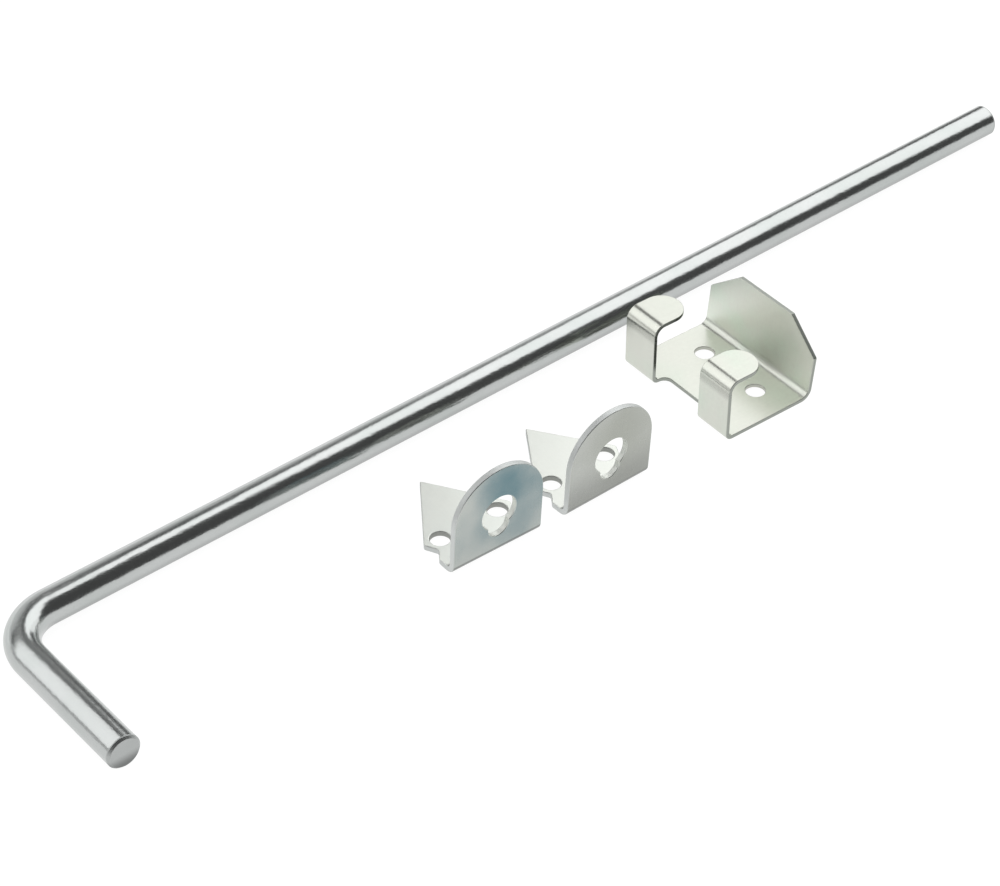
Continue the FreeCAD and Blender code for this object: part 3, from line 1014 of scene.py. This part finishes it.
class CANEBOLT_OT_stage(bpy.types.Operator):
    """Make the floor, the light, the reflected cards and the camera"""

    bl_idname = "canebolt.stage"
    bl_label = "Studio"

    def execute(self, context):
        studio = context.scene.canebolt_studio
        self.floor(studio)
        self.daylight(context.scene, studio)
        room_dome(radius=3.0, rings=24, around=64)
        self.reflections()
        self.camera(context.scene)
        return {"FINISHED"}

    def reflections(self):
        """Cards that show only in reflections, laid out in plan as (X, Y) at one height: a
        soft box over the set, another on the handle's side with a dimmer rim above it, and two
        dark flags, one just above the boxes and one just below. Another box stands upright
        off the rod's tip."""
        high, end = 0.6, 1.15
        over = [
            (-0.06, -0.11), (0.135, -0.081), (0.184, -0.174), (0.36, -0.25), (0.607, -0.31), (end, -0.52),
            (end, 0.84), (0.88, 0.85), (0.75, 0.84), (0.62, 0.75), (0.494, 0.67), (0.431, 0.60),
            (0.205, 0.343), (0.15, 0.29), (0.02, 0.21), (-0.06, 0.165),
        ]
        side = [
            (0.0, 0.30), (0.0, 0.50), (-0.30, 0.72), (-0.55, 0.88), (-0.88, 1.12), (-1.42, 1.43),
            (-2.6, 1.9), (-2.6, 0.6), (-0.6, 0.25),
        ]
        rim = [
            (0.0, 0.29), (0.05, 0.52), (-0.24, 0.83), (-0.50, 1.00), (-0.84, 1.25), (-1.38, 1.58),
            (-2.7, 2.1), (-2.7, 0.6), (-0.6, 0.23),
        ]
        near_gap = [(-0.03, 0.29), (0.14, 0.33), (0.22, 0.55), (-0.03, 0.52)]
        far_gap = [
            (-0.03, 0.50), (0.07, 0.57), (-0.02, 0.67), (-0.13, 0.80), (-0.32, 1.12), (-0.60, 1.62),
            (-1.05, 1.78), (-0.85, 1.05), (-0.55, 0.84), (-0.30, 0.68),
        ]
        for name, plan, above, strength in (
            ("Over_light", over, 0, 1.75),
            ("Side_light", side, 0, 1.55),
            ("Side_rim", rim, 0.01, 0.45),
            ("Near_gap", near_gap, 0.005, 0.10),
            ("Far_gap", far_gap, -0.005, 0.10),
        ):
            card(name, [(x, y, high + above) for x, y in plan], strength)
        upright = [(-0.25, 0.1), (0.6, 0.1), (0.66, high), (-0.4, high)]
        card("End_light", [(end, y, z) for y, z in upright], strength=1.5)

    def floor(self, studio):
        """A square of pale ground that partly lights itself."""
        finish = Finish("Pale floor")
        sockets = {
            "Base Color": (*studio.ground, 1),
            "Roughness": 0.9,
            "Specular IOR Level": 0.0,
            "Emission Color": (1, 1, 1, 1),
            "Emission Strength": studio.ground_light,
        }
        half = 4.0
        corners = [(-half, -half, 0), (half, -half, 0), (half, half, 0), (-half, half, 0)]
        floor = new_thing("Floor", corners, [range(4)])
        floor.data.materials.append(finish.surface(finish.add("BsdfPrincipled", None, sockets)))

    def daylight(self, scene, studio):
        """Even white light from all round."""
        world = bpy.data.worlds.new("Daylight")
        world.use_nodes = True
        background = world.node_tree.nodes["Background"]
        background.inputs["Color"].default_value = (1, 1, 1, 1)
        background.inputs["Strength"].default_value = studio.daylight
        scene.world = world
        scene.view_settings.view_transform = "Standard"

    def camera(self, scene):
        """Looks along the fitted heading and dip, and rolls about that line."""
        heading, dip, roll = (math.radians(a) for a in (CAMERA_HEADING, CAMERA_DIP, CAMERA_ROLL))
        level = Vector((math.sin(heading), -math.cos(heading), 0))
        forward = Vector((math.cos(heading), math.sin(heading), 0))
        ahead = math.cos(dip) * forward - Vector((0, 0, math.sin(dip)))
        above = level.cross(ahead)
        right = level * math.cos(roll) + above * math.sin(roll)
        up = above * math.cos(roll) - level * math.sin(roll)
        lens = bpy.data.cameras.new("Camera")
        lens.sensor_width = SENSOR
        lens.lens = SENSOR * FOCAL_PX / IMAGE_WIDTH_PX
        lens.clip_start, lens.clip_end = 0.01, 50
        camera = bpy.data.objects.new("Camera", lens)
        turned = Matrix((right, up, -ahead)).transposed().to_4x4()
        camera.matrix_world = Matrix.Translation(CAMERA_POINT) @ turned
        scene.collection.objects.link(camera)
        scene.camera = camera


class CANEBOLT_PT_sidebar(bpy.types.Panel):
    """The set's sizes, colours and operators"""

    bl_idname = "CANEBOLT_PT_sidebar"
    bl_label = "Cane Bolt"
    bl_space_type = "VIEW_3D"
    bl_region_type = "UI"
    bl_category = "Cane Bolt"

    def draw(self, context):
        for group, operator in (
            ("canebolt_rod", CANEBOLT_OT_rod),
            ("canebolt_guide", CANEBOLT_OT_guides),
            ("canebolt_holder", CANEBOLT_OT_holder),
            ("canebolt_studio", CANEBOLT_OT_stage),
        ):
            box = self.layout.box()
            settings = getattr(context.scene, group)
            for key in settings.__annotations__:
                box.prop(settings, key)
            box.operator(operator.bl_idname)


SETTINGS = {
    "canebolt_rod": CaneRodSettings,
    "canebolt_guide": GuideSettings,
    "canebolt_holder": HolderSettings,
    "canebolt_studio": StudioSettings,
}
CLASSES = (
    *SETTINGS.values(),
    CANEBOLT_OT_rod,
    CANEBOLT_OT_guides,
    CANEBOLT_OT_holder,
    CANEBOLT_OT_stage,
    CANEBOLT_PT_sidebar,
)


def register():
    for kind in CLASSES:
        bpy.utils.register_class(kind)
    for name, kind in SETTINGS.items():
        setattr(bpy.types.Scene, name, bpy.props.PointerProperty(type=kind))


def unregister():
    for name in SETTINGS:
        delattr(bpy.types.Scene, name)
    for kind in reversed(CLASSES):
        bpy.utils.unregister_class(kind)


def main():
    register()
    bpy.ops.canebolt.rod()
    bpy.ops.canebolt.guides()
    bpy.ops.canebolt.holder()
    bpy.ops.canebolt.stage()


if __name__ == "__main__":
    main()
